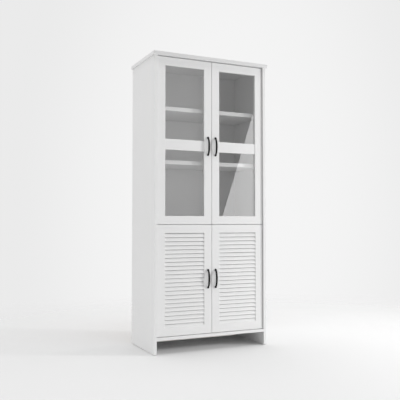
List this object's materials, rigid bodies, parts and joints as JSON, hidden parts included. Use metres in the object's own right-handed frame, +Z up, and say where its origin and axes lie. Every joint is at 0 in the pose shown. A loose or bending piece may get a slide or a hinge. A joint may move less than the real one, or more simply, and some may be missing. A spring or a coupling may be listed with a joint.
{
  "type": "display cabinet",
  "caption": "Tall white free-standing cabinet with glazed doors over louvred doors, dark bow handles, inner shelves and an open toe space, for storing and showing household things.",
  "frame": {"origin": "on the floor under the middle of the whole cabinet", "axes": "+Z up, +Y from the front to the back, +X to the right seen from the front"},
  "size_m": [0.822, 0.433, 1.882],
  "materials": {
    "white_lacquer": "satin white lacquer on board",
    "back_board": "white faced thin board",
    "clear_glass": "clear float glass",
    "black_iron": "satin black",
    "plated_steel": "nickel plated",
    "beech": "bare beech",
    "glide_plastic": "moulded"
  },
  "bodies": {
    "carcass": {"top_panel": "white_lacquer", "side_panel_left": "white_lacquer", "side_panel_right": "white_lacquer", "bottom_panel": "white_lacquer", "middle_panel": "white_lacquer", "back_panel_upper": "back_board", "back_panel_lower": "back_board", "top_shelf": "white_lacquer", "second_shelf": "white_lacquer", "lower_shelf": "white_lacquer", "shelf_pins": "plated_steel", "cam_locks": "plated_steel", "cam_bolts": "plated_steel", "wood_dowels": "beech", "back_panel_screws": "plated_steel", "floor_glides": "glide_plastic", "hinge_arms": "plated_steel", "hinge_plates": "plated_steel", "hinge_plate_screws": "plated_steel"},
    "upper_left_door": {"upper_left_hinge_stile": "white_lacquer", "upper_left_lock_stile": "white_lacquer", "upper_left_top_rail": "white_lacquer", "upper_left_mid_rail": "white_lacquer", "upper_left_bottom_rail": "white_lacquer", "upper_left_glass_panes": "clear_glass", "upper_left_glass_beads": "white_lacquer", "upper_left_handle": "black_iron", "upper_left_handle_screws": "plated_steel", "upper_left_hinge_cups": "plated_steel", "upper_left_hinge_pins": "plated_steel"},
    "upper_right_door": {"upper_right_hinge_stile": "white_lacquer", "upper_right_lock_stile": "white_lacquer", "upper_right_top_rail": "white_lacquer", "upper_right_mid_rail": "white_lacquer", "upper_right_bottom_rail": "white_lacquer", "upper_right_glass_panes": "clear_glass", "upper_right_glass_beads": "white_lacquer", "upper_right_handle": "black_iron", "upper_right_handle_screws": "plated_steel", "upper_right_hinge_cups": "plated_steel", "upper_right_hinge_pins": "plated_steel"},
    "lower_left_door": {"lower_left_hinge_stile": "white_lacquer", "lower_left_lock_stile": "white_lacquer", "lower_left_top_rail": "white_lacquer", "lower_left_bottom_rail": "white_lacquer", "lower_left_louvre_slats": "white_lacquer", "lower_left_handle": "black_iron", "lower_left_handle_screws": "plated_steel", "lower_left_hinge_cups": "plated_steel", "lower_left_hinge_pins": "plated_steel"},
    "lower_right_door": {"lower_right_hinge_stile": "white_lacquer", "lower_right_lock_stile": "white_lacquer", "lower_right_top_rail": "white_lacquer", "lower_right_bottom_rail": "white_lacquer", "lower_right_louvre_slats": "white_lacquer", "lower_right_handle": "black_iron", "lower_right_handle_screws": "plated_steel", "lower_right_hinge_cups": "plated_steel", "lower_right_hinge_pins": "plated_steel"}
  },
  "joints": [
    {"name": "upper_left_door_hinge", "type": "hinge", "parent": "carcass", "child": "upper_left_door", "pos_m": [-0.357, -0.182, 1.32925], "axis": [0, 0, -1], "range_deg": [0, 100]},
    {"name": "upper_right_door_hinge", "type": "hinge", "parent": "carcass", "child": "upper_right_door", "pos_m": [0.357, -0.182, 1.32925], "axis": [0, 0, 1], "range_deg": [0, 100]},
    {"name": "lower_left_door_hinge", "type": "hinge", "parent": "carcass", "child": "lower_left_door", "pos_m": [-0.357, -0.182, 0.45375], "axis": [0, 0, -1], "range_deg": [0, 100]},
    {"name": "lower_right_door_hinge", "type": "hinge", "parent": "carcass", "child": "lower_right_door", "pos_m": [0.357, -0.182, 0.45375], "axis": [0, 0, 1], "range_deg": [0, 100]}
  ]
}
